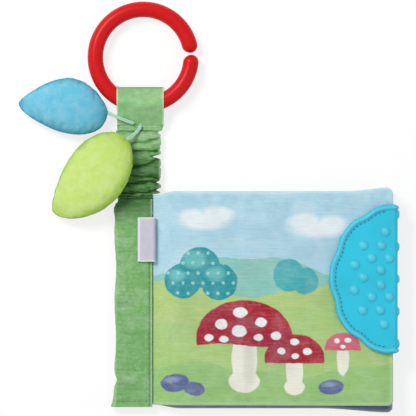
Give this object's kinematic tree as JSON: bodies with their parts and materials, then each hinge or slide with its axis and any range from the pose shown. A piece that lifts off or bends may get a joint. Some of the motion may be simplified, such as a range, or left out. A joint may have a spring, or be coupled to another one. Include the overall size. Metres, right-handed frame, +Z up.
{
  "type": "crinkle cloth book",
  "caption": "Soft crinkle cloth book with a folded silicone teether, stuffed leaf pendants and a gathered strap on a link ring.",
  "frame": {"origin": "middle of the back cover's outer face, on which the closed book lies", "axes": "+Z up out of the front cover, +X from the spine to the fore edge, +Y from the foot of the pages towards the strap and ring"},
  "size_m": [0.1983, 0.2137, 0.0153],
  "materials": {
    "cover_cloth": null,
    "page_cloth": "printed plain weave in meadow greens",
    "margin_cloth": "printed plain weave, pressed flat",
    "film": "thin crinkle film",
    "green_cotton": "leaf green plain cotton",
    "loop_cotton": "leaf green plain cotton, pressed smooth",
    "label_cloth": "pale woven tape, bare",
    "elastic": "woven elastic",
    "tie_cord": "flat mint cord",
    "blue_plush": "short sky blue velour",
    "lime_plush": "short lime velour",
    "filling": "polyester fibre filling",
    "silicone": "satin turquoise silicone",
    "red_plastic": "glossy red moulding"
  },
  "bodies": {
    "book": {"back_cover_inner_panel": "page_cloth", "back_cover_crinkle_film": "film", "back_cover_outer_panel": "cover_cloth", "back_cover_sewn_margin": "margin_cloth", "middle_leaf_sewn_margin": "margin_cloth", "front_cover_sewn_margin": "margin_cloth", "spine_binding": "green_cotton", "strap_tail": "green_cotton"},
    "middle_leaf": {"middle_leaf_front_panel": "cover_cloth", "middle_leaf_crinkle_film": "film", "middle_leaf_back_panel": "page_cloth"},
    "front_cover": {"front_cover_outer_panel": "cover_cloth", "front_cover_crinkle_film": "film", "front_cover_inner_panel": "page_cloth", "teether": "silicone"},
    "tag": {"label": "label_cloth"},
    "strap": {"gathered_sleeve": "green_cotton", "elastic_band": "elastic"},
    "strap_end": {"loop_hem": "loop_cotton"},
    "loop": {"strap_loop": "loop_cotton"},
    "link_ring": {"ring": "red_plastic"},
    "blue_leaf": {"blue_leaf_tie": "tie_cord", "blue_leaf_front_panel": "blue_plush", "blue_leaf_filling": "filling", "blue_leaf_back_panel": "blue_plush"},
    "lime_tie": {"lime_leaf_tie": "tie_cord"},
    "lime_leaf": {"lime_leaf_front_panel": "lime_plush", "lime_leaf_filling": "filling", "lime_leaf_back_panel": "lime_plush"}
  },
  "joints": [
    {"name": "middle_leaf_turn", "type": "hinge", "parent": "book", "child": "middle_leaf", "pos_m": [-0.06255, 0, 0.007], "axis": [0, 1, 0], "range_deg": [-150, 0]},
    {"name": "front_cover_open", "type": "hinge", "parent": "middle_leaf", "child": "front_cover", "pos_m": [-0.06255, 0, 0.007], "axis": [0, -1, 0], "range_deg": [0, 150]},
    {"name": "label_flip", "type": "hinge", "parent": "book", "child": "tag", "pos_m": [-0.06255, 0.03045, 0.007], "axis": [0, 1, 0], "range_deg": [0, 150]},
    {"name": "strap_bend", "type": "hinge", "parent": "book", "child": "strap", "pos_m": [-0.0702, 0.059, 0.0066], "axis": [1, 0, 0], "range_deg": [0, 70]},
    {"name": "strap_stretch", "type": "slide", "parent": "strap", "child": "strap_end", "axis": [0, 1, 0], "range_m": [0, 0.025], "stiffness_N_per_m": 80, "deforming": ["gathered_sleeve", "elastic_band"]},
    {"name": "loop_lift", "type": "hinge", "parent": "strap_end", "child": "loop", "pos_m": [-0.069, 0.0899, 0.0051], "axis": [1, 0, 0], "range_deg": [0, 58]},
    {"name": "ring_spin", "type": "hinge", "parent": "loop", "child": "link_ring", "pos_m": [-0.06753, 0.12534, 0.00455], "axis": [0, 0.0271, 0.9996], "continuous": true},
    {"name": "blue_leaf_lift", "type": "hinge", "parent": "loop", "child": "blue_leaf", "pos_m": [-0.07322, 0.09105, 0.0066], "axis": [0.3714, 0.9285, 0], "range_deg": [0, 116]},
    {"name": "lime_tie_hang", "type": "hinge", "parent": "strap_end", "child": "lime_tie", "pos_m": [-0.06882, 0.0896, 0.0057], "axis": [1, 0, 0], "range_deg": [-35, 0]},
    {"name": "lime_leaf_lift", "type": "hinge", "parent": "lime_tie", "child": "lime_leaf", "pos_m": [-0.07612, 0.0824, 0.0104], "axis": [-0.7022, 0.712, 0], "range_deg": [0, 40]}
  ],
  "couplings": [
    {"joint": "lime_tie_hang", "follows": "strap_bend", "ratio": -0.5}
  ]
}
